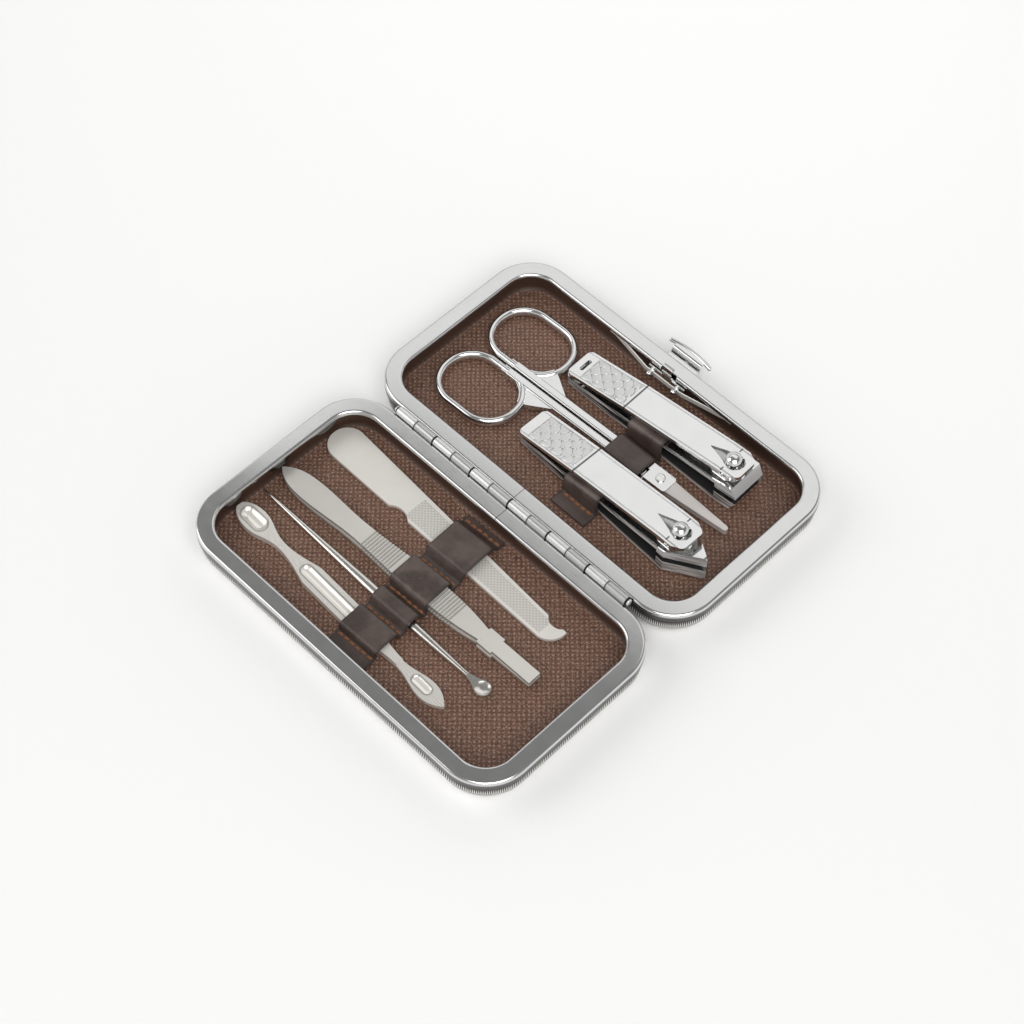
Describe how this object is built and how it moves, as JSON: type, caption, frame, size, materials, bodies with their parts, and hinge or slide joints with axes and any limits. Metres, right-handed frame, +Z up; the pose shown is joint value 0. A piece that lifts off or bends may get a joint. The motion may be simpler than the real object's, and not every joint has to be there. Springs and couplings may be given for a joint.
{
  "type": "manicure set case",
  "caption": "Two-tray hinged case, open flat, with framed rims and leather loops holding nail clippers, scissors, a file, tweezers, an ear pick and a cuticle pusher.",
  "frame": {"origin": "middle of the base tray's flat underside", "axes": "+Z up out of the open trays, +X along the hinge, +Y from the hinge towards the latch"},
  "size_m": [0.116, 0.138, 0.0172],
  "materials": {
    "frame_chrome": "satin nickel plate",
    "cover_leatherette": "white leatherette with a fine black weave",
    "board": "grey pulp board",
    "lining_leatherette": "brown textured leatherette",
    "strap_leather": "dark brown smooth leather",
    "polished_steel": "polished nickel plate",
    "satin_steel": "satin ground stainless steel"
  },
  "bodies": {
    "base": {"base_frame": "frame_chrome", "base_cover": "cover_leatherette", "base_board": "board", "base_lining": "lining_leatherette", "base_hinge_leaf": "frame_chrome", "hinge_pin": "frame_chrome", "base_strap": "strap_leather", "latch_spring": "polished_steel"},
    "latch": {"latch_tab": "polished_steel", "latch_rivets": "polished_steel"},
    "lid": {"lid_frame": "frame_chrome", "lid_cover": "cover_leatherette", "lid_board": "board", "lid_lining": "lining_leatherette", "lid_hinge_leaf": "frame_chrome", "lid_strap": "strap_leather"},
    "file": {"nail_file": "satin_steel"},
    "tweezers": {"tweezers_lower_leaf": "satin_steel"},
    "tweezers_arm": {"tweezers_upper_leaf": "satin_steel"},
    "ear_pick": {"ear_pick": "satin_steel"},
    "pusher": {"cuticle_pusher": "satin_steel"},
    "scissors": {"scissors_lower_half": "polished_steel", "scissors_screw": "polished_steel"},
    "scissors_arm": {"scissors_upper_half": "polished_steel"},
    "wide_clipper": {"wide_clipper_lower_jaw": "polished_steel"},
    "wide_clipper_arm": {"wide_clipper_upper_jaw": "polished_steel", "wide_clipper_rivet": "polished_steel"},
    "wide_clipper_swivel": {"wide_clipper_post": "polished_steel"},
    "wide_clipper_handle": {"wide_clipper_lever": "polished_steel", "wide_clipper_lever_pin": "polished_steel"},
    "point_clipper": {"point_clipper_lower_jaw": "polished_steel"},
    "point_clipper_arm": {"point_clipper_upper_jaw": "polished_steel", "point_clipper_rivet": "polished_steel"},
    "point_clipper_swivel": {"point_clipper_post": "polished_steel"},
    "point_clipper_handle": {"point_clipper_lever": "polished_steel", "point_clipper_lever_pin": "polished_steel"}
  },
  "joints": [
    {"name": "lid_hinge", "type": "hinge", "parent": "base", "child": "lid", "pos_m": [0, -0.03385, 0.0109], "axis": [-1, 0, 0], "range_deg": [0, 180]},
    {"name": "latch_press", "type": "slide", "parent": "base", "child": "latch", "axis": [0, 1, 0], "range_m": [-0.0013, 0], "stiffness_N_per_m": 600, "springref_m": 0.0006, "deforming": ["latch_spring"]},
    {"name": "file_draw", "type": "slide", "parent": "lid", "child": "file", "axis": [-0.9999, 0.0105, 0], "range_m": [-0.01, 0]},
    {"name": "tweezers_draw", "type": "slide", "parent": "lid", "child": "tweezers", "axis": [-0.9998, -0.0192, 0], "range_m": [-0.008, 0]},
    {"name": "ear_pick_draw", "type": "slide", "parent": "lid", "child": "ear_pick", "axis": [-0.9999, 0.014, 0], "range_m": [-0.012, 0]},
    {"name": "pusher_draw", "type": "slide", "parent": "lid", "child": "pusher", "axis": [-0.999, 0.0454, 0], "range_m": [-0.005, 0]},
    {"name": "scissors_draw", "type": "slide", "parent": "base", "child": "scissors", "axis": [0.9995, 0.0332, 0], "range_m": [-0.0024, 0]},
    {"name": "tweezers_squeeze", "type": "hinge", "parent": "tweezers", "child": "tweezers_arm", "pos_m": [-0.0526, -0.06668, 0.00527], "axis": [0.0192, -0.9998, 0], "range_deg": [-0.25, 0], "stiffness_Nm_per_rad": 8},
    {"name": "scissors_open", "type": "hinge", "parent": "scissors", "child": "scissors_arm", "pos_m": [0.0205, 0.0026, 0.00482], "axis": [0, 0, 1], "range_deg": [-1.4, 0]},
    {"name": "wide_clipper_draw", "type": "slide", "parent": "base", "child": "wide_clipper", "axis": [-0.9997, -0.0253, 0], "range_m": [-0.006, 0]},
    {"name": "wide_clipper_squeeze", "type": "hinge", "parent": "wide_clipper", "child": "wide_clipper_arm", "pos_m": [-0.0175, 0.0138, 0.00546], "axis": [0.0253, -0.9997, 0], "range_deg": [-1.8, 0], "stiffness_Nm_per_rad": 10},
    {"name": "wide_clipper_turn", "type": "hinge", "parent": "wide_clipper", "child": "wide_clipper_swivel", "pos_m": [0.03448, 0.01512, 0.00342], "axis": [0, 0, 1], "range_deg": [-6, 0]},
    {"name": "wide_clipper_lift", "type": "hinge", "parent": "wide_clipper_swivel", "child": "wide_clipper_handle", "pos_m": [0.03448, 0.01512, 0.01497], "axis": [0.0253, -0.9997, 0], "range_deg": [-25, 0]},
    {"name": "point_clipper_draw", "type": "slide", "parent": "base", "child": "point_clipper", "axis": [-0.9997, 0.0244, 0], "range_m": [-0.0025, 0]},
    {"name": "point_clipper_squeeze", "type": "hinge", "parent": "point_clipper", "child": "point_clipper_arm", "pos_m": [-0.0125, -0.0098, 0.00546], "axis": [-0.0244, -0.9997, 0], "range_deg": [-1.8, 0], "stiffness_Nm_per_rad": 10},
    {"name": "point_clipper_turn", "type": "hinge", "parent": "point_clipper", "child": "point_clipper_swivel", "pos_m": [0.03948, -0.01107, 0.00342], "axis": [0, 0, -1], "range_deg": [-12, 0]},
    {"name": "point_clipper_lift", "type": "hinge", "parent": "point_clipper_swivel", "child": "point_clipper_handle", "pos_m": [0.03948, -0.01107, 0.01497], "axis": [-0.0244, -0.9997, 0], "range_deg": [-25, 0]}
  ]
}
